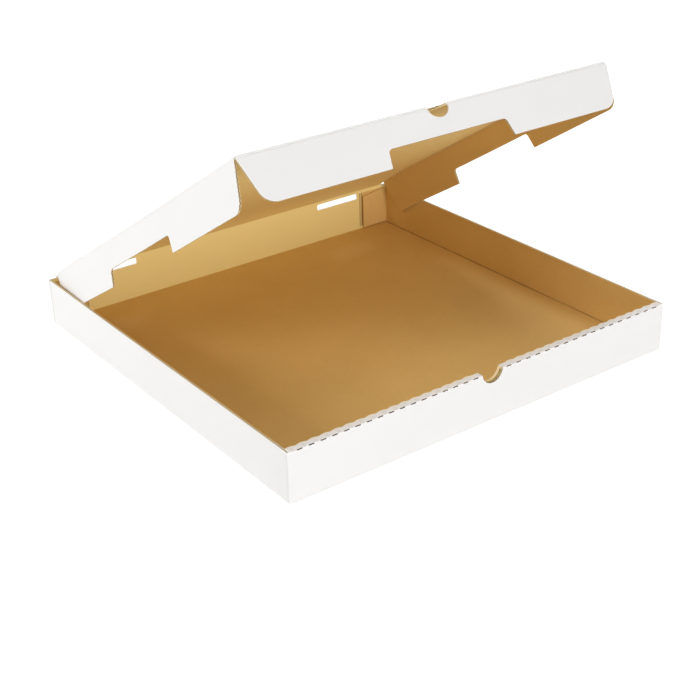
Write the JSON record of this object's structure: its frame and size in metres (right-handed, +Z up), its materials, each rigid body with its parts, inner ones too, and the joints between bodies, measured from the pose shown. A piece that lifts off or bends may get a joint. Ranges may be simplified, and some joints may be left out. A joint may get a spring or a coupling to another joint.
{
  "type": "pizza box",
  "caption": "Shallow square corrugated pizza box with raised lid: tray with roll-over perforated front wall and thumb notch, hinged lid with tuck-in flaps.",
  "frame": {"origin": "middle of the tray's underside", "axes": "+Z up, -Y towards the front wall with the thumb notch, +Y towards the lid's crease, +X to the right seen from the front"},
  "size_m": [0.4, 0.4, 0.2502],
  "materials": {
    "white_lined_kraft_board": "matt"
  },
  "bodies": {
    "tray": {"tray": "white_lined_kraft_board"},
    "lid": {"lid_panel": "white_lined_kraft_board"},
    "front_flap": {"lid_front_flap": "white_lined_kraft_board"},
    "right_flap": {"lid_right_flap": "white_lined_kraft_board"},
    "left_flap": {"lid_left_flap": "white_lined_kraft_board"}
  },
  "joints": [
    {"name": "lid_crease", "type": "hinge", "parent": "tray", "child": "lid", "pos_m": [0, 0.199, 0.0463], "axis": [-1, 0, 0], "range_deg": [-31.8, 148.2]},
    {"name": "front_flap_crease", "type": "hinge", "parent": "lid", "child": "front_flap", "pos_m": [0, -0.12821, 0.24918], "axis": [-1, 0, 0], "range_deg": [-5, 85]},
    {"name": "right_flap_crease", "type": "hinge", "parent": "lid", "child": "right_flap", "pos_m": [0.192, 0.19847, 0.04545], "axis": [0.0233, 0.8497, -0.5268], "range_deg": [0, 83]},
    {"name": "left_flap_crease", "type": "hinge", "parent": "lid", "child": "left_flap", "pos_m": [-0.192, 0.19847, 0.04545], "axis": [0.0233, -0.8497, 0.5268], "range_deg": [0, 83]}
  ]
}
